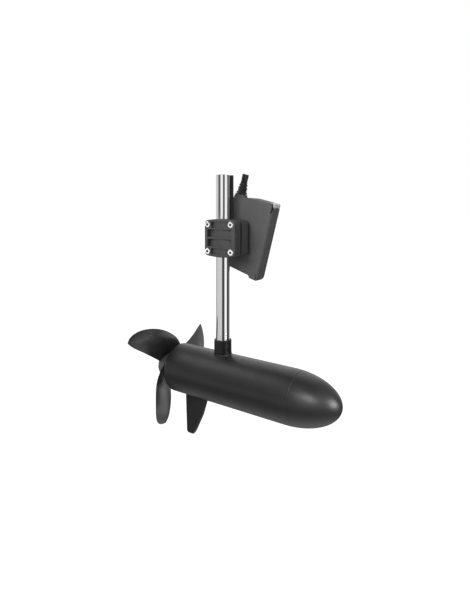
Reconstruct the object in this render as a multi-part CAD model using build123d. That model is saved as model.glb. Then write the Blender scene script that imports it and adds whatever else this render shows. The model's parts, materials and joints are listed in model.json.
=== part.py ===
from build123d import *
import os

# Lower unit of an electric trolling motor: a torpedo motor with a three-blade propeller, hung on a
# one-inch stainless tube, and a clamp that carries a tilting sonar pod.
#
# Frame while modelling: X along the motor towards the nose, Y away from the clamp's front face,
# Z up, with z = 0 on the motor axis. Every node is lowered by HEAD_RISE as it is written, so the
# part's own origin is the middle of the seat inside the tube's top that takes the steering head.

# ---------------------------------------------------------------- driving dimensions, millimetres
GAP = 0.05                      # clearance between pieces that seat in each other
RUNNING = 0.04                  # radial clearance of the motor shaft in its bushes and seals

TUBE_TOP = 368.0
TUBE_R = 12.7                   # one-inch tube
TUBE_WALL = 1.8
SEAT_R = 11.3                   # bored seat for the steering head's spigot
SEAT_DEPTH = 24.0
HEAD_RISE = TUBE_TOP - SEAT_DEPTH / 2

BODY_R = 44.7                   # motor housing
BODY_WALL = 3.5
TAIL_X = -108.0
TAIL_ROUND = 7.0
NOSE_CENTRE_X = 140.0           # the nose is half an ellipsoid from here
NOSE_LENGTH = 89.2
SEAM_X = 157.5                  # parting face of housing and nose cone
SEAM_EDGE = 0.5                 # bevel on each side of that seam

SHAFT_R = 5.0                   # motor shaft
BUSH_R = 9.0
ARMATURE_R = 28.5
ARMATURE_HALF = 50.0
SLOTS = 12
MAGNET_IN, MAGNET_OUT = 29.6, 37.0
SLEEVE_OUT = 40.9
COMMUTATOR_R = 14.0
COMMUTATOR_X = (82.0, 106.0)
BRUSH_PLATE_X = (108.0, 111.0)
BOLT_POSTS = ((12.0, 31.0), (-12.0, -31.0))     # y, z of the two through bolts

HUB_R = 24.0
HUB_X = (-142.5, -109.2)
PROP_R = 118.8
BLADES = 3
BLADE_PHASE = 31.3              # first blade, degrees above the horizontal on the near side

COLLAR_R = 15.7
COLLAR_TOP = 70.0

CLAMP_X = 6.9                   # centre of the clamp block, beside the tube's axis
CLAMP_Z = 254.4
CLAMP_WIDTH = 68.0
CLAMP_SIDE_HEIGHT = 62.0
CLAMP_CROWN = 3.2               # rise of the bowed top and bottom edges
CLAMP_FRONT_Y = (-20.0, -2.5)
CLAMP_REAR_Y = (1.5, 24.5)
CLAMP_BORE_R = 13.9
SCREW_SPACING = (51.6, 48.3)
CONDUIT = (5.1, 18.6)           # x, y of the cable conduit beside the tube
CONDUIT_R = 4.2

POD_TILT = 15.0                 # lean of the pod from upright, top towards the nose
POD_FACE_Y = 28.5
POD_WALL = 2.8
POD_DEPTH = 26.0
POD_SIDE_ROUND = 4.8            # radius between the pod's face and its right side
POD_LEFT, POD_RIGHT = -28.0, 65.2
POD_BOTTOM, POD_TOP = -58.0, 80.0
GLAND_U = -15.6                 # centre of the cable gland along the pod's top edge
GLAND_Y = 41.5
LEAD_R = 3.1
LEAD_PITCH = 6.9
LEAD_FOOT = 67.8                # where the two pod leads start inside the gland boss
PLUG_V = (105.8, 116.0)         # the lead plug, measured up the pod's own height
PLUG_R = 3.25


# ---------------------------------------------------------------- shape helpers
def along_x(radius, start, end, y=0.0, z=0.0):
    return Pos((start + end) / 2, y, z) * Rot(0, 90, 0) * Cylinder(radius, end - start)


def along_y(radius, start, end, x=0.0, z=0.0):
    return Pos(x, (start + end) / 2, z) * Rot(90, 0, 0) * Cylinder(radius, end - start)


def along_z(radius, start, end, x=0.0, y=0.0):
    return Pos(x, y, (start + end) / 2) * Cylinder(radius, end - start)


def ring_x(outer, inner, start, end):
    return along_x(outer, start, end) - along_x(inner, start - 1, end + 1)


def ring_z(outer, inner, start, end):
    return along_z(outer, start, end) - along_z(inner, start - 1, end + 1)


def block(x_span, y_span, z_span):
    """Rectangular block from its three spans."""
    spans = (x_span, y_span, z_span)
    centre = [(low + high) / 2 for low, high in spans]
    return Pos(*centre) * Box(*[high - low for low, high in spans])


def extruded_y(wire, start, end):
    """Extrude an outline that was drawn as (x, z) points from one y to another."""
    face = Plane.XZ * make_face(wire)
    return Pos(0, start, 0) * extrude(face, amount=end - start, dir=(0, 1, 0))


def on_plane_y(shape, y):
    return shape.edges().filter_by(lambda edge: abs(edge.center().Y - y) < 0.01)


def around_x(shape, count, phase=0.0):
    return [Rot(phase + index * 360 / count, 0, 0) * shape for index in range(count)]


def group(solids):
    return Compound(children=list(solids))


def routed(points, radius, bends):
    """Round lead along straight runs joined by tangent arcs."""
    path = FilletPolyline(*points, radius=bends)
    start = Plane(origin=points[0], z_dir=Vector(*points[1]) - Vector(*points[0]))
    return sweep(start * Circle(radius), path=path)


# ---------------------------------------------------------------- motor body
def body_envelope(inset=0.0):
    """Torpedo shape: rounded tail, straight body and half-ellipsoid nose, inset by a wall."""
    radius = BODY_R - inset
    tail = TAIL_X + inset
    corner = max(TAIL_ROUND - inset, 2.0)
    length = NOSE_LENGTH - inset
    barrel = fillet(along_x(radius, tail, NOSE_CENTRE_X).edges().sort_by(Axis.X)[0], corner)
    profile = make_face(
        Line((0, 0), (length, 0))
        + EllipticalCenterArc((0, 0), length, radius, start_angle=0, arc_size=90)
        + Line((0, radius), (0, 0))
    )
    nose = Pos(NOSE_CENTRE_X, 0, 0) * revolve(profile, Axis.X)
    return barrel + nose


def behind(x):
    return block((x - 500, x), (-200, 200), (-200, 200))


def ahead(x):
    return block((x, x + 500), (-200, 200), (-200, 200))


SEAT_X = (-82.0, TAIL_X)        # tail boss, from its inner face to the tail's outer face
SEAL_X = -94.0                  # shoulder that the shaft seals bear on
BOLT_SEAT_X = -100.0
BOLT_TIP_X = 168.0


def skeg():
    """Fin under the tail, with a near-vertical trailing edge and a swept leading edge."""
    outline = Polyline((-88.5, -38), (-34.5, -38), (-38, -54), (-47.5, -82), (-62.5, -112),
                       (-69.0, -121.5), (-85.2, -121.5), close=True)
    fin = extruded_y(outline, -3.6, 3.6)
    corners = fin.edges().filter_by(Axis.Y)
    tip = corners.filter_by(lambda edge: edge.center().Z < -118)
    fin = fillet(tip, 6.5)
    rims = fin.edges().filter_by(lambda edge: abs(abs(edge.center().Y) - 3.6) < 0.01)
    rims = rims.filter_by(lambda edge: edge.center().Z < -45)
    return chamfer(rims, 2.4, 1.6)


def seam_groove():
    """V-shaped ring that bevels the outer edge of both pieces where they meet."""
    surface = BODY_R * (1 - ((SEAM_X - NOSE_CENTRE_X) / NOSE_LENGTH) ** 2) ** 0.5
    notch = Polyline((SEAM_X - SEAM_EDGE, surface + 0.2), (SEAM_X + SEAM_EDGE, surface + 0.2),
                     (SEAM_X, surface - SEAM_EDGE), close=True)
    return revolve(make_face(notch), Axis.X)


def motor_housing():
    shell = (body_envelope() & behind(SEAM_X)) + skeg()
    shell += along_z(14.2, 41.5, 58.0) + along_z(16.3, 40.0, 46.4)
    cavity = body_envelope(BODY_WALL) & behind(SEAM_X)
    cavity += along_x(BODY_R - BODY_WALL, 120, SEAM_X + 1)
    cavity -= along_x(18.0, TAIL_X, SEAT_X[0])
    for y, z in BOLT_POSTS:
        cavity -= along_x(7.0, TAIL_X, -93, y, z)
    shell -= cavity
    shell -= along_x(BUSH_R + GAP, -92, SEAT_X[0] + 1)
    shell -= along_x(7.0, SEAL_X - 1, -90)
    shell -= along_x(11.0 + GAP, TAIL_X - 1, SEAL_X)
    shell -= along_z(TUBE_R + GAP, 35.0, 60.0)
    for y, z in BOLT_POSTS:
        shell -= along_x(2.6, TAIL_X, -80, y, z)
        shell -= along_x(5.0, TAIL_X - 1, BOLT_SEAT_X, y, z)
    return shell - seam_groove()


def nose_cone():
    cone = body_envelope() & ahead(SEAM_X)
    cone -= body_envelope(BODY_WALL) & ahead(165.0)
    cone += along_x(BODY_R - BODY_WALL - GAP, 147.5, SEAM_X)
    cone -= along_x(37.2, 140, 160)
    cone += along_x(13.0, 149.0, 160.5)
    for y, z in BOLT_POSTS:
        cone += along_x(6.0, 164.5, 171.5, y, z) & body_envelope(1.0)
        cone -= along_x(2.5 + GAP, 150, 169, y, z)
    cone -= along_x(BUSH_R + GAP, 148, 163)
    cone -= along_x(6.0, 150, 168)
    cone -= ring_x(BODY_R, 38.9, 151.5, 154.5)
    return cone - seam_groove()


def nose_o_ring():
    return Pos(153, 0, 0) * Rot(0, 90, 0) * Torus(40.05, 1.05)


def sleeve_bush(start, end):
    return ring_x(BUSH_R, SHAFT_R + RUNNING, start, end)


def shaft_seals():
    """Two lip seals, each with a groove that leaves the lip on the shaft side."""
    seals = []
    for start in (-99.2, -104.6):
        seal = ring_x(11.0, SHAFT_R + RUNNING, start, start + 4.9)
        seal -= ring_x(9.0, 6.6, start - 1, start + 3.4)
        seals.append(seal)
    return group(seals)


def seal_retainer():
    return ring_x(11.0, 6.2, TAIL_X + 0.2, -104.7)


def through_bolts():
    bolts = []
    for y, z in BOLT_POSTS:
        bolt = along_x(2.5, BOLT_SEAT_X - 1, BOLT_TIP_X, y, z)
        bolt += along_x(4.4, BOLT_SEAT_X - 4.5, BOLT_SEAT_X, y, z)
        socket = Pos(BOLT_SEAT_X - 4.5, y, z) * Rot(0, 90, 0) * extrude(RegularPolygon(2.2, 6), 2.5)
        bolts.append(bolt - socket)
    return group(bolts)


def flux_sleeve():
    sleeve = ring_x(SLEEVE_OUT, MAGNET_OUT + GAP, -64, 64)
    return sleeve - along_z(14.0, 20, 60)


def field_magnets():
    """Two ceramic arc magnets, one on each side, with gaps above and below."""
    arcs = ring_x(MAGNET_OUT, MAGNET_IN, -56, 56)
    gap_block = block((-60, 60), (-17.5, 17.5), (-60, 60))
    return arcs - gap_block


# ---------------------------------------------------------------- rotor
def motor_shaft():
    shaft = along_x(SHAFT_R, -138.5, 163 - 0.5)
    shaft -= along_y(2.5 + GAP, -8, 8, x=-113.5)
    return chamfer(shaft.edges().filter_by(GeomType.CIRCLE).sort_by(Axis.X)[-1], 0.8)


def armature_core():
    core = ring_x(ARMATURE_R, SHAFT_R + GAP, -ARMATURE_HALF, ARMATURE_HALF)
    slot = block((-60, 60), (-2.6, 2.6), (15.0, ARMATURE_R - 2.5))
    mouth = block((-60, 60), (-1.0, 1.0), (ARMATURE_R - 3, ARMATURE_R + 2))
    for cutter in around_x(slot + mouth, SLOTS):
        core -= cutter
    return core


def armature_windings():
    """Coils: bundles in the slots joined by the rounded end turns."""
    bundle = block((-ARMATURE_HALF - 4, ARMATURE_HALF + 4), (-2.4, 2.4), (15.3, ARMATURE_R - 2.9))
    coils = ring_x(26.5, 9.0, ARMATURE_HALF + 0.5, ARMATURE_HALF + 20)
    coils = fillet(coils.edges().filter_by(GeomType.CIRCLE).sort_by(Axis.X)[-2:], 5)
    turns = coils + Rot(0, 180, 0) * coils
    for bar in around_x(bundle, SLOTS):
        turns += bar
    return turns


def commutator():
    start, end = COMMUTATOR_X
    drum = ring_x(COMMUTATOR_R, 8.7, start, end) + ring_x(16.5, 8.7, start - 3, start)
    slit = block((start - 5, end + 1), (-0.4, 0.4), (COMMUTATOR_R - 1.6, 18))
    for cutter in around_x(slit, 2 * SLOTS, 7.5):
        drum -= cutter
    return drum


def thrust_washers():
    return group([ring_x(8.4, SHAFT_R + 0.3, -81.8, -80.6), ring_x(8.4, SHAFT_R + 0.3, 147.4, 148.7)])


def drive_pin():
    return along_y(2.5, -16, 16, x=-113.5)


WIDEST = 36.0                   # height on the blade at which it is widest
BLADE_WIDTH = 52.8
TIP_ROUND = 22.0                # height over which the trailing edge curves round to the tip


def blade_section(height):
    """Blade cross-section as a thin lens, square to the blade at a height from the shaft axis."""
    rise = (height - WIDEST) / (PROP_R - WIDEST if height > WIDEST else 54.0)
    tip = max(height - PROP_R + TIP_ROUND, 0) / TIP_ROUND
    bulge = BLADE_WIDTH * (1 - rise ** 2) ** 0.5
    back = 10.0 * ((max(height, 10.0) - 68) / 52) ** 2
    rake = 21.0 * (max(height - 47, 0) / 70) ** 2
    trailing = Vector(-131.5 - back, 5.5 * (1 - (1 - tip ** 2) ** 0.5) - 3.5)
    leading = Vector(-119.4 - rake, 5.5 * max(rise, 0) + bulge - 3.5)
    chord = leading - trailing
    across = Vector(chord.Y, -chord.X).normalized()
    middle = (leading + trailing) * 0.5
    half = 0.5 * (6.5 - 4.2 * max(height, 0) / PROP_R) * min(1.0, 0.35 + chord.length / 40)
    camber = across * (0.035 * chord.length)
    edge = across * 0.55
    wire = (
        ThreePointArc(trailing + edge, middle + camber + across * half, leading + edge)
        + Line(leading + edge, leading - edge)
        + ThreePointArc(leading - edge, middle + camber - across * half, trailing - edge)
        + Line(trailing - edge, trailing + edge)
    )
    return Pos(0, 0, height) * make_face(wire)


def blade():
    heights = [-14, -6, 6, 22, 40, 58, 76, 92] + [PROP_R - drop for drop in (15, 7, 2.5, 0.5)]
    return loft([blade_section(height) for height in heights])


def propeller():
    rear, front = HUB_X
    hub = along_x(HUB_R, rear, front)
    hub = fillet(hub.edges().filter_by(GeomType.CIRCLE).sort_by(Axis.X)[0], 4.0)
    hub = fillet(hub.edges().filter_by(GeomType.CIRCLE).sort_by(Axis.X)[-1], 1.2)
    for single in around_x(blade(), BLADES, 90 - BLADE_PHASE):
        hub += single
    hub -= along_x(SHAFT_R + GAP, rear - 1, front + 1)
    hub -= along_x(13.0, rear - 1, rear + 11)
    hub -= block((front - 7.05, front + 1), (-16.2, 16.2), (-2.55, 2.55))
    return hub


def prop_washer():
    return ring_x(11.5, SHAFT_R + 0.3, HUB_X[0] + 9.2, HUB_X[0] + 10.95)


def prop_nut():
    nut = extrude(RegularPolygon(8.6, 6), 6.6)
    nut += Pos(0, 0, 6.6) * Cylinder(7.6, 2.0, align=(Align.CENTER, Align.CENTER, Align.MIN))
    nut = Pos(HUB_X[0] + 9.15, 0, 0) * Rot(0, -90, 0) * nut
    return nut - along_x(SHAFT_R + GAP, HUB_X[0] - 2, HUB_X[0] + 12)


# ---------------------------------------------------------------- brush gear and wiring
BRUSH_X = (87.0, 101.0)
BRUSH_HALF = 4.0
BRUSH_Z = (COMMUTATOR_R + 0.4, 27.0)
HOLDER_TOP = 35.0


def brush_plate():
    plate = ring_x(40.6, 17.0, *BRUSH_PLATE_X)
    for y, z in BOLT_POSTS:
        plate -= along_x(3.2, 100, 120, y, z)
    for y in (-4.0, 4.0):
        plate -= along_x(2.0, 100, 120, y, 36.0)
    return plate


def sideways(shape):
    """The same shape on both sides of the commutator, turned from above to left and right."""
    return [Rot(angle, 0, 0) * shape for angle in (90, -90)]


def brush_holders():
    box = block((BRUSH_X[0] - 1.2, BRUSH_PLATE_X[0]), (-5.2, 5.2), (17.0, HOLDER_TOP))
    box -= block((BRUSH_X[0] - GAP, BRUSH_X[1] + GAP), (-4.05, 4.05), (15.0, HOLDER_TOP - 1.0))
    return group(sideways(box))


def brushes():
    block_shape = block(BRUSH_X, (-BRUSH_HALF, BRUSH_HALF), BRUSH_Z)
    block_shape -= along_x(COMMUTATOR_R + 0.4, 80, 110)
    return group(sideways(block_shape))


def brush_springs():
    """Compression springs between each brush and the closed end of its holder."""
    low, high = BRUSH_Z[1] + 0.5, HOLDER_TOP - 1.5
    coil = Helix(pitch=1.9, height=high - low, radius=2.9)
    wire = sweep(Plane(origin=coil @ 0, z_dir=coil % 0) * Circle(0.4), path=coil)
    spring = Pos(sum(BRUSH_X) / 2, 0, low) * wire
    return group(sideways(spring))


def motor_lead(side):
    """Lead from the brush plate back over the armature and up the tube."""
    y = 4.0 * side
    stops = [(112.5, y, 36.0), (88.0, y, 35.2), (40.0, y, 33.6), (0.0, y, 34.0), (0.0, y, 334.0)]
    return routed(stops, 1.6, 12.0)


# ---------------------------------------------------------------- tube and collar
def shaft_tube():
    tube = ring_z(TUBE_R, TUBE_R - TUBE_WALL, 42.0, TUBE_TOP)
    for edge_height in (0, -1):
        rim = tube.edges().filter_by(GeomType.CIRCLE).group_by(Axis.Z)[edge_height]
        tube = chamfer(rim, 0.4)
    return tube - along_z(SEAT_R, TUBE_TOP - SEAT_DEPTH, TUBE_TOP + 1)


def shaft_collar():
    collar = along_z(COLLAR_R, 46.6, COLLAR_TOP)
    rims = collar.edges().filter_by(GeomType.CIRCLE)
    collar = fillet(rims, 0.9)
    collar -= along_z(14.2 + GAP, 40, 58.2)
    collar -= along_z(15.0, 58.2, 61.2) & along_z(14.6, 58, 62)
    return collar - along_z(TUBE_R + 0.1, 40, 80)


def tube_o_ring():
    return Pos(0, 0, 59.7) * Torus(13.7, 0.85)


# ---------------------------------------------------------------- clamp
def clamp_outline():
    """Rounded rectangle with bowed top and bottom edges, as (x, z) points."""
    half_w = CLAMP_WIDTH / 2
    half_h = CLAMP_SIDE_HEIGHT / 2
    left, right = CLAMP_X - half_w, CLAMP_X + half_w
    low, high = CLAMP_Z - half_h, CLAMP_Z + half_h
    return (
        Line((left, low), (left, high))
        + ThreePointArc((left, high), (CLAMP_X, high + CLAMP_CROWN), (right, high))
        + Line((right, high), (right, low))
        + ThreePointArc((right, low), (CLAMP_X, low - CLAMP_CROWN), (left, low))
    )


def clamp_block(y_span, corner=7.0):
    solid = extruded_y(clamp_outline(), *y_span)
    return fillet(solid.edges().filter_by(Axis.Y), corner)


def screw_places():
    dx, dz = SCREW_SPACING[0] / 2, SCREW_SPACING[1] / 2
    return [(CLAMP_X + sx * dx, CLAMP_Z + sz * dz) for sx in (-1, 1) for sz in (-1, 1)]


POCKET_TOP_Y = -18.4            # crown of the pockets' bowed floor
POCKET_FLOOR_R = 58.0


def face_pocket(x_span, z_span):
    """Pocket whose floor is a wide upright cylinder, so that it is deepest at its two ends."""
    pocket = block(x_span, (-30, -8), z_span)
    pocket = fillet(pocket.edges().filter_by(Axis.Y), 1.6)
    floor = along_z(POCKET_FLOOR_R, CLAMP_Z - 60, CLAMP_Z + 60, x=CLAMP_X, y=POCKET_TOP_Y + POCKET_FLOOR_R)
    return pocket - floor


def clamp_front():
    shell = clamp_block(CLAMP_FRONT_Y)
    shell = fillet(on_plane_y(shell, CLAMP_FRONT_Y[0]), 2.2)
    pitch, rib = 16.9, 3.2
    for index, half_width in zip((-2, -1, 0, 1), (18.5, 27.0, 27.0, 18.5)):
        low = CLAMP_Z + index * pitch + rib / 2
        high = low + pitch - rib
        high = min(high, CLAMP_Z + 29.2)
        low = max(low, CLAMP_Z - 29.2)
        shell -= face_pocket((CLAMP_X - half_width, CLAMP_X + half_width), (low, high))
    shell -= along_z(CLAMP_BORE_R, CLAMP_Z - 50, CLAMP_Z + 50)
    for x, z in screw_places():
        shell += along_y(7.6, CLAMP_FRONT_Y[0] + 1.2, -8, x, z) & clamp_block(CLAMP_FRONT_Y)
        shell -= along_y(2.7, -30, 0, x, z)
        shell -= along_y(6.3, -30, CLAMP_FRONT_Y[0] + 1.2, x, z)
    return shell


def clamp_rear():
    solid = clamp_block(CLAMP_REAR_Y, 9.0)
    solid = fillet(on_plane_y(solid, CLAMP_REAR_Y[1]), 5.5)
    solid -= along_z(CLAMP_BORE_R, CLAMP_Z - 50, CLAMP_Z + 50)
    solid -= along_z(CONDUIT_R + GAP, CLAMP_Z + 20, CLAMP_Z + 60, *CONDUIT)
    solid -= along_y(5.5 + GAP, 14.4, 30, CLAMP_X, CLAMP_Z)
    for x, z in screw_places():
        solid -= along_y(3.4 + GAP, 0, 13.0, x, z)
    return solid


def clamp_liner(y_sign):
    liner = ring_z(CLAMP_BORE_R - GAP, TUBE_R + GAP, CLAMP_Z - 33.0, CLAMP_Z + 33.0)
    half = block((-20, 20), (0.6, 20) if y_sign > 0 else (-20, -0.6), (200, 320))
    return liner & half


def clamp_screws():
    seat = CLAMP_FRONT_Y[0] + 1.2
    screws = []
    for x, z in screw_places():
        head = fillet(along_y(6.0, seat - 3.0, seat, x, z).edges().sort_by(Axis.Y)[0], 1.5)
        screw = head + along_y(2.5, seat - 1, 11.5, x, z)
        socket = extruded_y(Pos(x, z) * RegularPolygon(2.9, 6).wire(), seat - 4, seat - 0.5)
        screws.append(screw - socket)
    return group(screws)


def clamp_inserts():
    return group(
        along_y(3.4, CLAMP_REAR_Y[0], 12.9, x, z) - along_y(2.5 + GAP, 0, 11.8, x, z)
        for x, z in screw_places()
    )


CONDUIT_FOOT = CLAMP_Z + 20.1


def cable_conduit():
    x, y = CONDUIT
    pipe = along_z(CONDUIT_R, CONDUIT_FOOT, TUBE_TOP, x, y)
    return pipe - along_z(CONDUIT_R - 1.0, CONDUIT_FOOT - 1, TUBE_TOP + 1, x, y)


def conduit_plug():
    x, y = CONDUIT
    return along_z(CONDUIT_R - 1.0 - GAP, TUBE_TOP - 9, TUBE_TOP, x, y)


# ---------------------------------------------------------------- tilt pivot
def pivot_insert():
    return along_y(5.5, 14.5, 24.5, CLAMP_X, CLAMP_Z) - along_y(3.0 + GAP, 15.5, 30, CLAMP_X, CLAMP_Z)


def friction_washer():
    return along_y(16.0, 24.55, 26.4, CLAMP_X, CLAMP_Z) - along_y(4.1, 20, 30, CLAMP_X, CLAMP_Z)


def pivot_bolt():
    """Shoulder bolt: its thread is in the clamp and the pod turns on its shoulder."""
    bolt = along_y(3.0, 16.0, 25.0, CLAMP_X, CLAMP_Z) + along_y(4.0, 24.55, 34.6, CLAMP_X, CLAMP_Z)
    bolt += along_y(8.0, 34.6, 38.6, CLAMP_X, CLAMP_Z)
    socket = extruded_y(Pos(CLAMP_X, CLAMP_Z) * RegularPolygon(3.0, 6).wire(), 35.8, 40)
    return bolt - socket


# ---------------------------------------------------------------- sonar pod
# The pod is drawn upright, with u across and v up from its pivot, and leaned as it is placed.
def leaned(shape):
    return Pos(CLAMP_X, 0, CLAMP_Z) * Rot(0, POD_TILT, 0) * shape


COVER_DEPTH = 3.6               # thickness of the array-side cover
GASKET_DEPTH = 0.8
BACK_Y = POD_FACE_Y + POD_DEPTH
CAP_Y = POD_FACE_Y + 4.0        # front of the corner cap
COVER_Y = BACK_Y - COVER_DEPTH
SEAM_Y = COVER_Y - GASKET_DEPTH
INNER_Y = POD_FACE_Y + 5.5      # inner face of the shell's front wall
SCREW_POSTS = ((-20.5, -48.0), (57.0, -57.0), (57.0, 63.0), (20.0, 70.0))
SLOT_U = (61.5, 64.5)           # slot between the face and the round-topped ear beside it
SLOT_FOOT = 60.4
EAR_Y = POD_FACE_Y + 4.5
EAR_TOP = 73.0
EAR_R = 16.0
BOSS_TOP = 78.0


def pod_outline(inset=0.0):
    """Pod seen from the clamp side, with a foot at its lower right corner."""
    return Polyline(
        (POD_LEFT + inset, POD_BOTTOM + 2.0 + inset),
        (45.0 + 0.4 * inset, POD_BOTTOM - 1.4 + inset),
        (51.0 + 0.4 * inset, -67.0 + inset),
        (POD_RIGHT - inset, -67.0 + inset),
        (POD_RIGHT - inset, POD_TOP - inset),
        (18.0, POD_TOP - 1.5 - inset),
        (POD_LEFT + inset, POD_TOP - 10.5 - inset),
        close=True,
    )


def rounded_foot():
    """Everything above a foot that is round from front to back."""
    round_part = along_x(23.5, -100, 100, y=(POD_FACE_Y + BACK_Y) / 2, z=-43.0)
    return round_part + block((-100, 100), (0, 100), (-56, 200))


def rounded_side():
    """Everything left of the right side, with the wide round that leads into the face."""
    side = block((-200, POD_RIGHT), (POD_FACE_Y, 200), (-200, 200))
    front = side.edges().filter_by(Axis.Z).filter_by(lambda edge: edge.center().X > 0).sort_by(Axis.Y)[0]
    return fillet(front, POD_SIDE_ROUND)


def pod_body(inset, start, end):
    """Pod block with its upright corners rounded, between two y planes."""
    body = extruded_y(pod_outline(inset), start, end)
    for right, top, radius in ((1, -1, 11.0), (1, 1, 4.5), (-1, 1, 7.0), (-1, -1, 9.0)):
        corner = body.edges().filter_by(Axis.Y).filter_by(
            lambda edge: (edge.center().X - 19) * right > 41 and edge.center().Z * top > 30
        )
        body = fillet(corner, radius - inset)
    return body


def gland_boss(grow=0.0):
    """Flared boss on the pod's top edge that the lead boot seats on."""
    low = Pos(GLAND_U, GLAND_Y, 58) * RectangleRounded(33 + grow, 17 + grow, 6)
    high = Pos(GLAND_U, GLAND_Y, BOSS_TOP) * RectangleRounded(22.5 + grow, 15.5 + grow, 6)
    return loft([low, high])


def lead_bores(radius, low, high):
    return [along_z(radius, low, high, GLAND_U + side * LEAD_PITCH / 2, GLAND_Y) for side in (-1, 1)]


def solid_pod():
    """Outer form of the whole pod."""
    body = pod_body(0.0, POD_FACE_Y, BACK_Y)
    body = fillet(on_plane_y(body, POD_FACE_Y), 1.6)
    body = fillet(on_plane_y(body, BACK_Y), 2.4)
    return body & rounded_side() & rounded_foot()


def beyond(y):
    return block((-200, 200), (y, 200), (-200, 200))


def cap_space(gap):
    """Corner filled by the silver cap: above a slant in front, and above the ear's round top."""
    corner = extruded_y(
        Polyline((54.0 + gap, 78.0 + gap), (60.6, 78.0 + gap), (68.0, 68.6 + gap), (90.0, 68.6),
                 (90.0, 100.0), (54.0 + gap, 100.0), close=True), CAP_Y + gap, BACK_Y + 5)
    corner += block((60.6, 90.0), (CAP_Y + 5, BACK_Y + 5), (69.0, 90.0))
    return corner - along_x(EAR_R + gap, 0, 100, y=42.0, z=EAR_TOP - EAR_R)


def corner_block():
    """Solid corner behind the slot and the cap, which keeps the inside of the pod closed."""
    return block((51.0, POD_RIGHT - 0.4), (INNER_Y - 1, BACK_Y - 2), (58.6, 79.0))


def ear_slot():
    """Slot that widens upwards beside the face, with the ear set back from it."""
    left, right = SLOT_U
    slot = Polyline((left, SLOT_FOOT), (right, SLOT_FOOT + 9.5), (right, 90), (left, 90), close=True)
    front = Polyline((left, SLOT_FOOT), (left + 8, SLOT_FOOT + 12), (left + 8, 90), (left, 90), close=True)
    return extruded_y(slot, 0, EAR_Y + 5) + extruded_y(front, 0, EAR_Y)


def pod_back_shell():
    shell = solid_pod() - (pod_body(POD_WALL, INNER_Y, 90) & block((-90, 90), (0, 90), (-61, 90)))
    shell += corner_block() & solid_pod()
    for u, v in SCREW_POSTS:
        shell += along_y(4.2, INNER_Y - 1, 60, u, v) & solid_pod()
        shell -= along_y(1.3, 38.0, 90, u, v)
    shell -= beyond(SEAM_Y)
    shell += gland_boss()
    shell += along_y(12.0, 26.5, POD_FACE_Y + 1) + along_y(10.0, POD_FACE_Y, 34.3)
    shell -= along_y(4.0 + RUNNING, 20, 40)
    for bore in lead_bores(LEAD_R + GAP, LEAD_FOOT - 0.1, 90):
        shell -= bore
    shell -= ear_slot()
    shell -= block((61.0, 62.0), (0, POD_FACE_Y + 3.0), (-64.0, -51.5))
    return shell - cap_space(0.0)


def corner_cap():
    return solid_pod() & cap_space(GAP)


def pod_gasket():
    band = pod_body(0.5, SEAM_Y + GAP, COVER_Y - GAP) & rounded_foot()
    band -= pod_body(POD_WALL - 0.3, SEAM_Y, COVER_Y) - corner_block()
    for u, v in SCREW_POSTS:
        band -= along_y(4.6, 0, 90, u, v)
    return band - gland_boss(1.0) - cap_space(-0.3)


def array_cover():
    cover = (solid_pod() & beyond(COVER_Y)) - gland_boss(0.6) - cap_space(0.0)
    for u, v in SCREW_POSTS:
        cover -= along_y(1.8, 0, 90, u, v) + along_y(3.3, COVER_Y + 1.6, 90, u, v)
    return cover


def pod_screws():
    screws = []
    seat = COVER_Y + 1.6
    for u, v in SCREW_POSTS:
        screw = along_y(3.1, seat, seat + 1.8, u, v) + along_y(1.25, 39.0, seat + 1, u, v)
        socket = extruded_y(Pos(u, v) * RegularPolygon(1.3, 6).wire(), seat + 0.7, seat + 3)
        screws.append(screw - socket)
    return group(screws)


BOARD_Y = (36.0, 37.6)


def circuit_board():
    return block((14.0, 60.0), BOARD_Y, (-50.0, 58.0))


def board_components():
    """Chips and capacitors on the side of the board that faces the array."""
    chips = [block((20, 40), (BOARD_Y[1], 40.2), (4, 24)), block((44, 56), (BOARD_Y[1], 39.4), (-4, 20))]
    chips += [along_y(3.4, BOARD_Y[1], 45.4, 22 + 10 * index, 48) for index in range(3)]
    chips += [block((18 + 8 * index, 23 + 8 * index), (BOARD_Y[1], 38.8), (30, 38)) for index in range(5)]
    return group(chips)


ARRAY_V = (-44.0, -8.0)
ARRAY_LEFT = -9.0
ELEMENT_PITCH = 5.2
ELEMENTS = 12
ELEMENT_Y = (45.0, COVER_Y - GAP)


def transducer_elements():
    lefts = [ARRAY_LEFT + index * ELEMENT_PITCH for index in range(ELEMENTS)]
    return group(block((left, left + ELEMENT_PITCH - 0.9), ELEMENT_Y, ARRAY_V) for left in lefts)


def array_backing():
    right = ARRAY_LEFT + ELEMENTS * ELEMENT_PITCH + 1.0
    return block((ARRAY_LEFT - 2, right), (39.0, ELEMENT_Y[0] - GAP), (ARRAY_V[0] - 2, ARRAY_V[1] + 2))


# ---------------------------------------------------------------- lead boot, leads and plug
def flared_ring(low, high, wide, narrow):
    """One skirt of the boot: wide at its foot and drawn in at its top."""
    foot = Pos(GLAND_U, GLAND_Y, low) * RectangleRounded(wide[0], wide[1], wide[1] / 2 - 0.4)
    top = Pos(GLAND_U, GLAND_Y, high) * RectangleRounded(narrow[0], narrow[1], narrow[1] / 2 - 0.4)
    return loft([foot, top])


def cable_boot():
    boot = flared_ring(BOSS_TOP, 100.0, (15.5, 9.6), (14.4, 8.2))
    boot += flared_ring(79.6, 87.6, (20.5, 14.0), (15.4, 9.4))
    boot += flared_ring(89.2, 97.6, (18.0, 11.8), (14.8, 8.8))
    for bore in lead_bores(LEAD_R + GAP, 70, 110):
        boot -= bore
    return boot


def pod_lead(side):
    return lead_bores(LEAD_R, LEAD_FOOT, PLUG_V[0])[side]


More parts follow.
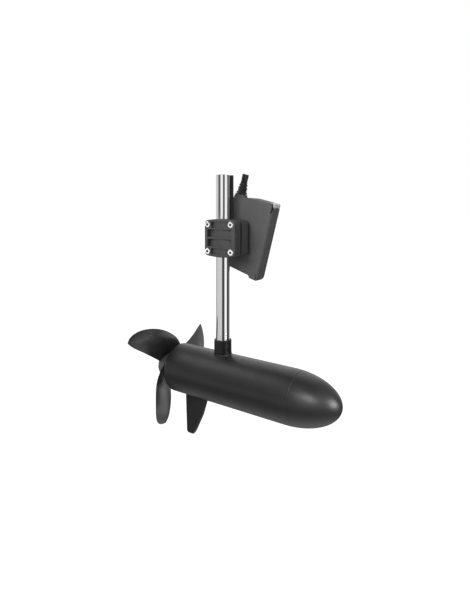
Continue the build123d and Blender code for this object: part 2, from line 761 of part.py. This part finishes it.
def lead_plug():
    """Two-pole in-line socket: a slim barrel on each lead, joined by a web."""
    low, high = PLUG_V
    body = block((GLAND_U - 2, GLAND_U + 2), (GLAND_Y - 1.6, GLAND_Y + 1.6), (low, high - 1))
    for barrel in lead_bores(PLUG_R, low, high):
        body += fillet(barrel.edges().filter_by(GeomType.CIRCLE).sort_by(Axis.Z)[-1], 0.6)
    for bore in lead_bores(1.5, low + 3, high + 1):
        body -= bore
    return body


def plug_contacts():
    low, high = PLUG_V
    outer = lead_bores(1.5 - GAP, low + 3, high - 1.5)
    inner = lead_bores(0.9, low + 4, high)
    return group([solid - hole for solid, hole in zip(outer, inner)])


PARTS = {
    "motor_housing": motor_housing,
    "nose_cone": nose_cone,
    "nose_o_ring": nose_o_ring,
    "rear_bush": lambda: sleeve_bush(-91.9, SEAT_X[0]),
    "front_bush": lambda: sleeve_bush(149.0, 162.9),
    "shaft_seals": shaft_seals,
    "seal_retainer": seal_retainer,
    "through_bolts": through_bolts,
    "flux_sleeve": flux_sleeve,
    "field_magnets": field_magnets,
    "brush_plate": brush_plate,
    "brush_holders": brush_holders,
    "brushes": brushes,
    "brush_springs": brush_springs,
    "motor_lead_positive": lambda: motor_lead(1),
    "motor_lead_negative": lambda: motor_lead(-1),
    "motor_shaft": motor_shaft,
    "armature_core": armature_core,
    "armature_windings": armature_windings,
    "commutator": commutator,
    "thrust_washers": thrust_washers,
    "drive_pin": drive_pin,
    "propeller": propeller,
    "prop_washer": prop_washer,
    "prop_nut": prop_nut,
    "shaft_tube": shaft_tube,
    "shaft_collar": shaft_collar,
    "tube_o_ring": tube_o_ring,
    "clamp_front": clamp_front,
    "clamp_rear": clamp_rear,
    "clamp_liner_front": lambda: clamp_liner(-1),
    "clamp_liner_rear": lambda: clamp_liner(1),
    "clamp_screws": clamp_screws,
    "clamp_inserts": clamp_inserts,
    "cable_conduit": cable_conduit,
    "conduit_plug": conduit_plug,
    "pivot_insert": pivot_insert,
    "friction_washer": friction_washer,
    "pivot_bolt": pivot_bolt,
}

# Pieces that lean with the pod.
POD_PARTS = {
    "pod_back_shell": pod_back_shell,
    "array_cover": array_cover,
    "pod_gasket": pod_gasket,
    "pod_screws": pod_screws,
    "corner_cap": corner_cap,
    "circuit_board": circuit_board,
    "board_components": board_components,
    "transducer_elements": transducer_elements,
    "array_backing": array_backing,
    "cable_boot": cable_boot,
    "pod_lead_left": lambda: pod_lead(0),
    "pod_lead_right": lambda: pod_lead(1),
    "lead_plug": lead_plug,
    "plug_contacts": plug_contacts,
}


def main():
    os.makedirs("parts", exist_ok=True)
    shapes = {name: make() for name, make in PARTS.items()}
    shapes |= {name: leaned(make()) for name, make in POD_PARTS.items()}
    for name, shape in shapes.items():
        export_step(Pos(0, 0, -HEAD_RISE) * shape, f"parts/{name}.step")


main()
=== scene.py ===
"""Looks of a trolling motor's lower unit: materials, ribbed lead boot, two leads and studio."""
import json
import math

import bpy
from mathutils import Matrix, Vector


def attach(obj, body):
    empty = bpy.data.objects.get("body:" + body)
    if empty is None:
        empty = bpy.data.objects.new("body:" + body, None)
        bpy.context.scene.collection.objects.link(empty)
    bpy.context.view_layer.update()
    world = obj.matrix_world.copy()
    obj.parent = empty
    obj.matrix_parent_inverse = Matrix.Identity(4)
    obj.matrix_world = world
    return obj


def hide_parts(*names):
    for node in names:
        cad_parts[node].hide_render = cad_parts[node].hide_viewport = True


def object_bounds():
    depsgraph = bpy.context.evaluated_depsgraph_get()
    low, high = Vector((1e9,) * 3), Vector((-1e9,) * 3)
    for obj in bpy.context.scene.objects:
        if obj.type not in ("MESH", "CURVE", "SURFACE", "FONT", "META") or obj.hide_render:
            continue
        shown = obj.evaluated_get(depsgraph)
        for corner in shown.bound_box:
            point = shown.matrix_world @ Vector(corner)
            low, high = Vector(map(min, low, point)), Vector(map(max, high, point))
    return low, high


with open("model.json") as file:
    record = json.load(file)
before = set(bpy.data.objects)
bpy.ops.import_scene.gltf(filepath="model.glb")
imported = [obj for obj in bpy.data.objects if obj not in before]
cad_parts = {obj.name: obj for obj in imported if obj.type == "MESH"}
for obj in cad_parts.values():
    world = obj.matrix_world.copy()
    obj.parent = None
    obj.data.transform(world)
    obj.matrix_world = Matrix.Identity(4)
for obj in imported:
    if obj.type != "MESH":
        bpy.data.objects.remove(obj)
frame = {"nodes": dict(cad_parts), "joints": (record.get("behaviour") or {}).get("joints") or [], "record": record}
NODES = frame["nodes"]
CAD_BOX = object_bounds()

MM = 0.001

# ---------------------------------------------------------------- places, from the frame
PIVOT = Vector(next(j for j in frame["joints"] if j["name"] == "pod_tilt")["pos_m"])
MOTOR_AXIS_Z = next(j for j in frame["joints"] if j["name"] == "prop_spin")["pos_m"][2]
POD_LEAN = math.radians(15.0)
HUB_R = 24.2                    # propeller hub, mm: inside it the plastic is painted paler as painted light
SCREW_SPACING = (51.6, 48.3)    # clamp screws, mm, centred on the pod's pivot
RECESS_SHADE_R = 2.6                  # hexagon recess in each screw head: radius of the painted shade in it
GLAND_U = -15.6                 # the two leads' middle, across the pod from its pivot, mm
GLAND_Y = 41.5
LEAD_PITCH = 6.9                # between the two leads
LEAD_R = 3.1
LEAD_V = (67.8, 80.0, 93.0, 105.8)      # places along a lead, up the pod from its pivot, mm
BOOT_V = (78.0, 100.0)                  # foot and top of the boot


def on_pod(u, y, v):
    """Row-frame point from a place on the upright pod, in mm from the pivot (y from the tube)."""
    across = u * math.cos(POD_LEAN) + v * math.sin(POD_LEAN)
    rise = v * math.cos(POD_LEAN) - u * math.sin(POD_LEAN)
    return Vector((PIVOT.x + across * MM, y * MM, PIVOT.z + rise * MM))


# ---------------------------------------------------------------- camera
CAMERA_YAW = math.radians(36.1)
CAMERA_PLACE = Vector((0.5238, -0.6810, MOTOR_AXIS_Z + 0.3102))
SENSOR_MM = 36.0
LENS_MM = 27.881
SHIFT_DOWN = 0.16154            # share of the frame's height


def add_camera():
    """Level camera with a small downward shift, so that the tube stays upright."""
    data = bpy.data.cameras.new("camera")
    data.sensor_width = SENSOR_MM
    data.lens = LENS_MM
    data.shift_y = -SHIFT_DOWN
    camera = bpy.data.objects.new("camera", data)
    camera.location = CAMERA_PLACE
    camera.rotation_euler = (math.pi / 2, 0, CAMERA_YAW)
    bpy.context.scene.collection.objects.link(camera)
    bpy.context.scene.camera = camera


# ---------------------------------------------------------------- node helpers
class Nodes:
    """Short forms for building a node tree."""

    def __init__(self, tree):
        self.tree = tree

    def put(self, socket, value):
        """Link a socket to another, or set its value."""
        if isinstance(value, bpy.types.NodeSocket):
            self.tree.links.new(value, socket)
        else:
            socket.default_value = value

    def node(self, kind, **inputs):
        made = self.tree.nodes.new("ShaderNode" + kind)
        for key, value in inputs.items():
            self.put(made.inputs[key.replace("_", " ")], value)
        return made

    def operate(self, kind, operation, values):
        """Node of a kind that has operations, with its inputs in order."""
        made = self.node(kind)
        made.operation = operation
        for socket, value in zip(made.inputs, values):
            self.put(socket, value)
        return made.outputs

    def maths(self, operation, *values):
        return self.operate("Math", operation, values)["Value"]

    def blend(self, factor, first, second):
        """Mix of two colours: the first at 0, the second at 1."""
        made = self.tree.nodes.new("ShaderNodeMix")
        made.data_type = "RGBA"
        self.put(made.inputs["Factor"], factor)
        self.put(made.inputs["A"], first)
        self.put(made.inputs["B"], second)
        return made.outputs["Result"]

    def ramp(self, value, stops):
        """Grey ramp through stops of (place, level), read at a value."""
        made = self.node("ValToRGB", Fac=value)
        elements = made.color_ramp.elements
        while len(elements) < len(stops):
            elements.new(0.5)
        for element, (at, level) in zip(elements, stops):
            element.position = at
            element.color = (level, level, level, 1)
        return made.outputs["Color"]


class Graph(Nodes):
    """A new material and its node tree, with patterns that are fixed to the object."""

    def __init__(self, name):
        self.material = bpy.data.materials.new(name)
        self.material.use_nodes = True
        super().__init__(self.material.node_tree)
        self.shader = self.tree.nodes["Principled BSDF"]

    def place(self, stretch=(1, 1, 1)):
        """Position on the object in metres, stretched along each axis."""
        coords = self.node("TexCoord").outputs["Object"]
        return self.node("Mapping", Vector=coords, Scale=stretch).outputs["Vector"]

    def noise(self, scale, detail=3.0, rough=0.5, stretch=(1, 1, 1)):
        made = self.node("TexNoise", Vector=self.place(stretch), Scale=scale, Detail=detail,
                         Roughness=rough)
        return made.outputs["Fac"]

    def cells(self, scale):
        return self.node("TexVoronoi", Vector=self.place(), Scale=scale).outputs["Distance"]

    def spread(self, value, low, high, start=0.3, end=0.7):
        """Map a 0 to 1 pattern onto a range, with a soft clip at both ends."""
        made = self.node("MapRange", Value=value, From_Min=start, From_Max=end, To_Min=low, To_Max=high)
        return made.outputs["Result"]

    def vector(self, operation, *values):
        return self.operate("VectorMath", operation, values)

    def from_axis(self):
        """Distance from the motor's axis, in metres."""
        coords = self.node("TexCoord").outputs["Object"]
        flat = self.node("Mapping", Vector=coords, Location=(0, 0, -MOTOR_AXIS_Z), Scale=(0, 1, 1))
        return self.vector("LENGTH", flat.outputs["Vector"])["Value"]

    def relief(self, height, depth_mm, strength):
        bump = self.node("Bump", Height=height, Strength=strength, Distance=depth_mm * MM)
        self.put(self.shader.inputs["Normal"], bump.outputs["Normal"])

    def set(self, **values):
        """Values or sockets for the shader's own inputs."""
        for key, value in values.items():
            self.put(self.shader.inputs[key.replace("_", " ")], value)


def grey(level):
    return (level, level, level * 1.02, 1.0)


# ---------------------------------------------------------------- materials
def powder_coat():
    """Satin charcoal powder coat with a slight orange peel and faint handling marks."""
    g = Graph("powder_coat")
    peel = g.noise(900, 2.0)
    grain = g.noise(4200, 2.0)
    cloud = g.noise(22, 4.0)
    g.set(Base_Color=g.blend(g.spread(cloud, 0, 1), grey(0.014), grey(0.018)),
          Roughness=g.spread(g.noise(60, 5.0), 0.36, 0.44))
    g.relief(g.maths("MULTIPLY_ADD", grain, 0.35, peel), 0.03, 0.4)
    return g.material


def gloss_plastic():
    """Moulded glossy plastic of the propeller: soft flow marks, and the hub painted paler grey as painted light on
    its side.
    """
    g = Graph("propeller_plastic")
    flow = g.noise(35, 3.0, stretch=(1, 0.4, 2.5))
    blades = g.blend(g.spread(flow, 0, 1), grey(0.030), grey(0.040))
    # painted light: the hub is painted a pale grey to stand in for the light falling on its side
    painted_hub_light = g.spread(g.from_axis(), 1.0, 0.0, HUB_R * MM, (HUB_R + 0.6) * MM)
    g.set(Base_Color=g.blend(painted_hub_light, blades, grey(0.20)), Roughness=g.spread(flow, 0.26, 0.32))
    g.relief(g.noise(1500, 3.0), 0.01, 0.25)
    return g.material


def textured_plastic(name, low, high, rough, cell_scale=2600, depth_mm=0.05):
    """Moulded plastic with a fine spark-eroded texture."""
    g = Graph(name)
    cells = g.cells(cell_scale)
    fine = g.noise(cell_scale * 1.7, 2.0)
    cloud = g.noise(30, 4.0)
    g.set(Base_Color=g.blend(g.spread(cloud, 0, 1), grey(low), grey(high)),
          Roughness=g.spread(fine, rough - 0.05, rough + 0.05))
    g.relief(g.maths("MULTIPLY_ADD", fine, 0.6, cells), depth_mm, 0.6)
    return g.material


def rubber(name, level, rough):
    """Soft rubber: dull, with a fine grain and a dusty bloom in patches."""
    g = Graph(name)
    bloom = g.noise(120, 5.0, 0.6)
    g.set(Base_Color=g.blend(g.spread(bloom, 0, 1), grey(level), grey(level * 1.7)),
          Roughness=g.spread(bloom, rough - 0.06, rough + 0.08))
    g.relief(g.noise(3000, 3.0), 0.03, 0.5)
    return g.material


def cable_jacket(name, colour):
    """Extruded cable jacket with fine lines along it."""
    g = Graph(name)
    lines = g.noise(900, 2.0, stretch=(1, 1, 0.04))
    darker = tuple(channel * 0.7 for channel in colour[:3]) + (1.0,)
    g.set(Base_Color=g.blend(g.spread(lines, 0, 1), darker, colour),
          Roughness=g.spread(g.noise(300, 3.0), 0.18, 0.26))
    g.relief(lines, 0.01, 0.3)
    return g.material


def polished_tube():
    """Polished stainless tube with hairlines along it."""
    g = Graph("polished_stainless")
    hair = g.noise(2600, 3.0, stretch=(1, 1, 0.012))
    smear = g.noise(26, 4.0, stretch=(1, 1, 0.4))
    g.set(Base_Color=g.blend(g.spread(smear, 0, 1), grey(0.80), grey(0.88)),
          Metallic=1.0, Roughness=g.spread(smear, 0.05, 0.10))
    g.relief(hair, 0.004, 0.25)
    return g.material


def machined(name, colour, rough, lines=(1, 1, 1)):
    """Turned or drawn metal, with fine tool lines."""
    g = Graph(name)
    cloud = g.noise(90, 4.0)
    dull = tuple(channel * 0.82 for channel in colour[:3]) + (1.0,)
    g.set(Base_Color=g.blend(g.spread(cloud, 0, 1), dull, colour), Metallic=1.0,
          Roughness=g.spread(cloud, rough - 0.06, rough + 0.08))
    g.relief(g.noise(1400, 3.0, stretch=lines), 0.01, 0.4)
    return g.material


def screw_steel():
    """Bright stainless screw heads, with painted shade in the hexagon recess of each: it is painted dark grey and
    made rougher there.
    """
    g = Graph("screw_steel")
    coords = g.node("TexCoord").outputs["Object"]
    centred = g.node("Mapping", Vector=coords, Location=(-PIVOT.x, 0, -PIVOT.z), Scale=(1, 0, 1))
    folded = g.vector("ABSOLUTE", centred.outputs["Vector"])
    corner = (SCREW_SPACING[0] * MM / 2, 0, SCREW_SPACING[1] * MM / 2)
    apart = g.vector("SUBTRACT", folded["Vector"], corner)
    from_screw = g.vector("LENGTH", apart["Vector"])["Value"]
    # painted shade: inside each recess the steel is painted dark grey and made rougher, to stand in for the shade
    # there
    recess_painted_shade = g.spread(from_screw, 1.0, 0.0, (RECESS_SHADE_R - 0.25) * MM, (RECESS_SHADE_R + 0.1) * MM)
    g.set(Base_Color=g.blend(recess_painted_shade, grey(0.88), grey(0.16)), Metallic=1.0,
          Roughness=g.spread(recess_painted_shade, 0.17, 0.45, 0.0, 1.0))
    g.relief(g.noise(1400, 3.0), 0.01, 0.3)
    return g.material


def wound_copper():
    """Enamelled copper wire, wound in close turns."""
    g = Graph("wound_copper")
    wave = g.node("TexWave", Vector=g.place(), Scale=420.0, Distortion=1.5, Detail=2.0)
    turns = wave.outputs["Fac"]
    g.set(Base_Color=g.blend(turns, (0.20, 0.06, 0.025, 1), (0.62, 0.25, 0.10, 1)),
          Metallic=0.85, Roughness=g.spread(g.noise(200), 0.25, 0.4))
    g.relief(turns, 0.25, 0.7)
    return g.material


def laminations():
    """Stacked electrical steel sheets, seen as fine lines round the core."""
    g = Graph("laminations")
    wave = g.node("TexWave", Vector=g.place(), Scale=300.0, Distortion=0.2)
    sheets = wave.outputs["Fac"]
    g.set(Base_Color=g.blend(sheets, grey(0.12), grey(0.30)), Metallic=1.0,
          Roughness=g.spread(g.noise(150), 0.35, 0.5))
    g.relief(sheets, 0.08, 0.6)
    return g.material


def sintered(name, low, high, metallic, rough=0.6):
    """Pressed and sintered powder: speckled and slightly porous."""
    g = Graph(name)
    speckle = g.noise(2400, 4.0, 0.7)
    g.set(Base_Color=g.blend(g.spread(speckle, 0, 1), low, high), Metallic=metallic,
          Roughness=g.spread(speckle, rough - 0.08, rough + 0.08))
    g.relief(g.cells(2200), 0.06, 0.6)
    return g.material


def board_laminate():
    """Green solder mask with copper tracks and pale pads showing through."""
    g = Graph("board_laminate")
    tracks = g.node("TexBrick", Vector=g.place(), Scale=70.0, Mortar_Size=0.03,
                    Color1=(0.008, 0.085, 0.035, 1), Color2=(0.006, 0.070, 0.030, 1),
                    Mortar=(0.03, 0.19, 0.07, 1))
    pads = g.spread(g.cells(330), 1.0, 0.0, 0.10, 0.14)
    g.set(Base_Color=g.blend(pads, tracks.outputs["Color"], (0.75, 0.74, 0.68, 1)),
          Roughness=g.spread(g.noise(200), 0.25, 0.4))
    g.relief(tracks.outputs["Fac"], 0.03, 0.5)
    return g.material


def brushed_cap():
    """Silver painted cap with a fine metallic fleck."""
    g = Graph("silver_cap")
    fleck = g.noise(5200, 2.0, 0.8)
    g.set(Base_Color=g.blend(g.spread(fleck, 0, 1), grey(0.78), grey(0.92)), Metallic=0.3,
          Roughness=g.spread(g.noise(300), 0.30, 0.42))
    g.relief(fleck, 0.01, 0.4)
    return g.material


def make_materials():
    """One material for each material slot of the record, and one more for the screw heads, with painted shade in
    their recesses.
    """
    return {
        "body_paint": powder_coat(),
        "prop_plastic": gloss_plastic(),
        "clamp_plastic": textured_plastic("clamp_plastic", 0.058, 0.080, 0.50, 1900, 0.09),
        "pod_plastic": textured_plastic("pod_plastic", 0.104, 0.122, 0.50, 3200, 0.03),
        "collar_plastic": textured_plastic("collar_plastic", 0.014, 0.020, 0.38, 3000, 0.02),
        "stainless_polished": polished_tube(),
        "screw_heads": screw_steel(),
        "stainless": machined("stainless", (0.86, 0.86, 0.87, 1), 0.17),
        "mild_steel": machined("mild_steel", (0.48, 0.48, 0.50, 1), 0.40, (0.05, 1, 1)),
        "lamination_steel": laminations(),
        "magnet_ferrite": sintered("ferrite", grey(0.020), grey(0.045), 0.0, 0.55),
        "copper": wound_copper(),
        "brass": machined("brass", (0.80, 0.58, 0.26, 1), 0.26),
        "bronze": sintered("sintered_bronze", (0.30, 0.17, 0.07, 1), (0.55, 0.36, 0.17, 1), 0.9, 0.45),
        "brush_carbon": sintered("brush_carbon", grey(0.015), grey(0.04), 0.2, 0.5),
        "board_laminate": board_laminate(),
        "component_black": textured_plastic("component_black", 0.012, 0.02, 0.42, 4200, 0.02),
        "phenolic": textured_plastic("phenolic", 0.05, 0.08, 0.45, 2400, 0.03),
        "black_rubber": rubber("black_rubber", 0.040, 0.42),
        "lead_jacket": cable_jacket("lead_jacket", (0.066, 0.066, 0.067, 1)),
        "red_jacket": cable_jacket("red_jacket", (0.42, 0.02, 0.02, 1)),
        "acetal": textured_plastic("acetal", 0.70, 0.80, 0.40, 2600, 0.01),
        "array_resin": sintered("array_resin", grey(0.05), grey(0.09), 0.0, 0.6),
        "element_ceramic": sintered("element_ceramic", (0.62, 0.58, 0.47, 1), (0.72, 0.69, 0.58, 1), 0.0),
        "bright_aluminium": brushed_cap(),
    }


def dress_cad_nodes(materials):
    """Give every CAD node its slot's material, apart from the screws and the lead plug."""
    slots = {entry["node"]: entry["material_slot"] for entry in frame["record"]["subparts"]}
    slots |= {"clamp_screws": "screw_heads", "lead_plug": "lead_jacket"}
    for name, node in NODES.items():
        material = materials[slots[name]]
        node.data.materials.clear()
        node.data.materials.append(material)


# ---------------------------------------------------------------- mesh helpers
def link(name, data, material, body):
    piece = bpy.data.objects.new(name, data)
    bpy.context.scene.collection.objects.link(piece)
    data.materials.append(material)
    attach(piece, body)
    return piece


def tube_mesh(name, rings):
    """Closed solid lofted through rings of equal length, with a flat cap at each end."""
    count = len(rings[0])
    points = [point for ring in rings for point in ring]
    faces = []
    for row in range(len(rings) - 1):
        for step in range(count):
            after = (step + 1) % count
            low, high = row * count, (row + 1) * count
            faces.append((low + step, low + after, high + after, high + step))
    faces.append(tuple(reversed(range(count))))
    faces.append(tuple(range(len(points) - count, len(points))))
    mesh = bpy.data.meshes.new(name)
    mesh.from_pydata(points, [], faces)
    mesh.update()
    for face in mesh.polygons:
        face.use_smooth = len(face.vertices) == 4
    return mesh


def stadium(half_width, half_depth, angle):
    """Point on a rounded oblong, as a superellipse of the given half sizes."""
    power = 2.0 / 2.9
    c, s = math.cos(angle), math.sin(angle)
    return (half_width * math.copysign(abs(c) ** power, c), half_depth * math.copysign(abs(s) ** power, s))


# ---------------------------------------------------------------- lead boot
SKIRTS = ((79.6, 86.6, 10.8, 7.4), (87.6, 93.6, 9.7, 6.5), (94.6, 99.4, 8.5, 5.6))   # v span, half sizes
SKIRT_TAPER = 0.74
CORE = (7.4, 4.5)               # half sizes
SLOT_PITCH = 2.45
SLOT_SHARE = 0.42               # of the pitch
SLOTS_V = (81.0, 98.5)
SLOT_SINK = 0.26                # depth, as a share of the half sizes
RING_STEP = 0.175
RING_POINTS = 112


def boot_section(v):
    """Half width and half depth of the boot at height v: three flared skirts on a slim core."""
    for low, high, width, depth in SKIRTS:
        if low <= v <= high:
            draw_in = 1 - (1 - SKIRT_TAPER) * (v - low) / (high - low)
            return width * draw_in, depth * draw_in
    return CORE


def slot_depth(v, angle):
    """0 on a rib and 1 in one of the staggered slots that let the boot bend."""
    band = (v - BOOT_V[0]) / SLOT_PITCH
    if band % 1.0 >= SLOT_SHARE or not SLOTS_V[0] < v < SLOTS_V[1]:
        return 0.0
    turned = angle + (math.pi / 2 if int(band) % 2 else 0.0)
    window = max(0.0, abs(math.cos(turned)) - 0.35) / 0.65
    return min(1.0, window * 2.5)


def boot_heights():
    """Ring heights, doubled at each skirt's foot so that it stays crisp."""
    count = int((BOOT_V[1] - BOOT_V[0]) / RING_STEP)
    heights = {BOOT_V[0] + index * RING_STEP for index in range(count + 1)} | {BOOT_V[1]}
    for low, high, _, _ in SKIRTS:
        heights |= {low - 0.02, low, high}
    return sorted(heights)


def boot_ring(v):
    half_width, half_depth = boot_section(v)
    ring = []
    for step in range(RING_POINTS):
        angle = 2 * math.pi * step / RING_POINTS
        size = 1 - SLOT_SINK * slot_depth(v, angle)
        across, deep = stadium(half_width * size, half_depth * size, angle)
        ring.append(on_pod(GLAND_U + across, GLAND_Y - deep, v))
    return ring


def build_boot(material):
    """Ribbed boot round both leads, in place of the plain CAD one."""
    mesh = tube_mesh("boot_ribs", [boot_ring(v) for v in boot_heights()])
    boot = link("boot_ribs", mesh, material, "pod")
    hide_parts("cable_boot")


# ---------------------------------------------------------------- leads
def build_lead(side, name, node, material):
    """One of the two leads, from inside the gland boss to the plug."""
    u = GLAND_U + side * LEAD_PITCH / 2
    curve = bpy.data.curves.new(name, "CURVE")
    curve.dimensions = "3D"
    spline = curve.splines.new("NURBS")
    spline.points.add(len(LEAD_V) - 1)
    for point, v in zip(spline.points, LEAD_V):
        point.co = (*on_pod(u, GLAND_Y, v), 1.0)
    spline.order_u = 3
    spline.use_endpoint_u = True
    curve.bevel_depth = LEAD_R * MM
    curve.bevel_resolution = 8
    curve.resolution_u = 24
    curve.use_fill_caps = True
    lead = link(name, curve, material, "pod")
    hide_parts(node)


# ---------------------------------------------------------------- studio
def add_area(name, place, target, size, power, only=()):
    """Area light facing a target. With nodes in only, nothing else is lit by it or mirrors it."""
    data = bpy.data.lights.new(name, "AREA")
    data.shape = "RECTANGLE"
    data.size, data.size_y = size
    data.energy = power
    light = bpy.data.objects.new(name, data)
    light.location = place
    light.rotation_euler = (Vector(target) - Vector(place)).to_track_quat("-Z", "Y").to_euler()
    bpy.context.scene.collection.objects.link(light)
    if only:
        receivers = bpy.data.collections.new(name + "_receivers")
        for node in only:
            receivers.objects.link(NODES[node])
        light.light_linking.receiver_collection = receivers


def add_world():
    """White studio: plain white to the camera, with softboxes and dark flags in reflections."""
    world = bpy.data.worlds.new("studio")
    world.use_nodes = True
    world.node_tree.nodes.clear()
    g = Nodes(world.node_tree)
    way = g.node("SeparateXYZ", Vector=g.node("TexCoord").outputs["Generated"]).outputs
    around = g.maths("MULTIPLY_ADD", g.maths("ARCTAN2", way["Y"], way["X"]), 1 / (2 * math.pi), 0.5)
    rise = g.maths("MULTIPLY_ADD", way["Z"], 0.5, 0.5)
    low, high = (g.ramp(around, wall_stops(bands)) for bands in (LOW_BANDS, HIGH_BANDS))
    walls = g.blend(g.ramp(rise, BAND_CHANGE), low, high)
    banded = g.blend(g.ramp(rise, WALL_SHARE), g.ramp(rise, FLOOR_TO_CEILING), walls)
    to_camera = g.node("LightPath").outputs["Is Camera Ray"]
    background = g.node("Background", Color=g.blend(to_camera, banded, (1, 1, 1, 1)))
    g.node("OutputWorld", Surface=background.outputs["Background"])
    bpy.context.scene.world = world


# Softboxes and flags round the horizon: degrees from the camera's side of the tube, turning
# towards the right of the picture, and the brightness there. The high set is seen in what is
# level with the camera or above it, and the low set below that.
HIGH_BANDS = (
    (-180, 0.74), (-92, 0.68), (-78, 0.30), (-67, 0.10), (-50, 0.10), (-42, 0.30), (-33, 0.95), (-4, 1.05),
    (4, 0.12), (25, 0.05), (36, 0.90), (43, 1.05), (66, 1.0), (84, 0.10), (112, 0.06), (125, 0.60),
    (180, 0.74),
)
LOW_BANDS = (
    (-180, 0.55), (-116, 0.47), (-98, 0.70), (-40, 0.70), (-22, 0.78), (-12, 0.25), (-5, 0.04), (15, 0.04),
    (27, 0.50), (35, 1.08), (64, 1.08), (71, 0.05), (115, 0.05), (126, 0.46), (155, 0.80), (180, 0.64),
)
# Ramps over height, from 0 straight down to 1 straight up.
BAND_CHANGE = ((0.0, 0.0), (0.482, 0.0), (0.487, 1.0), (1.0, 1.0))
WALL_SHARE = ((0.0, 0.0), (0.33, 0.0), (0.37, 1.0), (0.60, 1.0), (0.78, 0.0))
FLOOR_TO_CEILING = (
    (0.0, 1.0), (0.08, 0.60), (0.20, 0.12), (0.33, 0.02), (0.62, 0.02), (0.78, 0.40), (0.88, 0.32),
    (0.96, 0.12), (1.0, 0.10),
)


def wall_stops(bands):
    """The bands as places on a ramp that runs once round the world."""
    camera_side = math.degrees(math.atan2(CAMERA_PLACE.y, CAMERA_PLACE.x))
    stops = sorted((((camera_side + turn + 180) / 360) % 1.0, level) for turn, level in bands[1:])
    first, last = stops[0], stops[-1]
    gap = first[0] + 1 - last[0]
    edge = last[1] + (first[1] - last[1]) * (1 - last[0]) / gap
    return [(0.0, edge)] + stops + [(1.0, edge)]


FLOOR_DROP = 0.45               # below the lowest point of the unit, which hangs from its tube
FLOOR_REACH = 30.0


def add_floor():
    """Plain pale floor far below the hanging unit."""
    level = CAD_BOX[0][2] - FLOOR_DROP
    corners = [(x * FLOOR_REACH, y * FLOOR_REACH, level) for x, y in ((-1, -1), (1, -1), (1, 1), (-1, 1))]
    mesh = bpy.data.meshes.new("floor")
    mesh.from_pydata(corners, [], [(0, 1, 2, 3)])
    g = Graph("floor")
    g.set(Base_Color=grey(0.2), Roughness=0.9, Emission_Color=(1, 1, 1, 1), Emission_Strength=1.0)
    mesh.materials.append(g.material)
    floor = bpy.data.objects.new("floor", mesh)
    bpy.context.scene.collection.objects.link(floor)
    floor.visible_diffuse = False
    floor.visible_glossy = False
    floor.visible_shadow = False


MOTOR = ("motor_housing", "nose_cone")
CLAMP_AND_POD = ("clamp_front", "clamp_rear", "pod_back_shell", "array_cover", "corner_cap")


def add_lights():
    """Soft key from behind and a high fill on the left, then boxes that light single pieces."""
    middle = (0.0, 0.0, -0.20)
    motor = (0.05, 0.0, MOTOR_AXIS_Z)
    nose = (0.19, -0.03, MOTOR_AXIS_Z)
    clamp = (PIVOT.x, -0.02, PIVOT.z)
    propeller = (-0.125, -0.03, MOTOR_AXIS_Z + 0.05)
    add_area("key", (-0.5, 0.9, 1.1), middle, (1.4, 1.0), 5)
    add_area("left_fill", (-1.1, -0.6, 1.0), middle, (1.0, 0.8), 4)
    add_area("rim", (-0.5, 1.19, 0.17), motor, (1.2, 0.4), 1.8, MOTOR)
    add_area("nose_box", (0.41, -1.02, 0.30), nose, (0.35, 0.45), 7.0, MOTOR)
    add_area("right_box", (0.95, -0.05, -0.10), nose, (0.5, 0.35), 8.0, MOTOR)
    add_area("screw_box", (-0.88, -1.21, -0.20), clamp, (0.9, 0.18), 0.5, ["clamp_screws"])
    add_area("blade_box", (0.58, 0.43, -0.76), propeller, (1.6, 0.9), 4.5, ["propeller"])
    add_area("blade_fill", (0.66, 0.74, -0.30), propeller, (1.2, 1.2), 3.5, ["propeller"])
    add_area("front_fill", (-0.05, -1.25, 0.50), clamp, (0.7, 0.7), 10.0, CLAMP_AND_POD)
    add_area("side_fill", (1.0, -0.25, 0.30), clamp, (0.6, 0.6), 1.5, CLAMP_AND_POD)


def main():
    add_camera()
    materials = make_materials()
    dress_cad_nodes(materials)
    build_boot(materials["black_rubber"])
    jacket = materials["lead_jacket"]
    build_lead(-1, "lead_left", "pod_lead_left", jacket)
    build_lead(1, "lead_right", "pod_lead_right", jacket)
    add_world()
    add_floor()
    add_lights()
    bpy.context.scene.view_settings.view_transform = "Standard"


main()
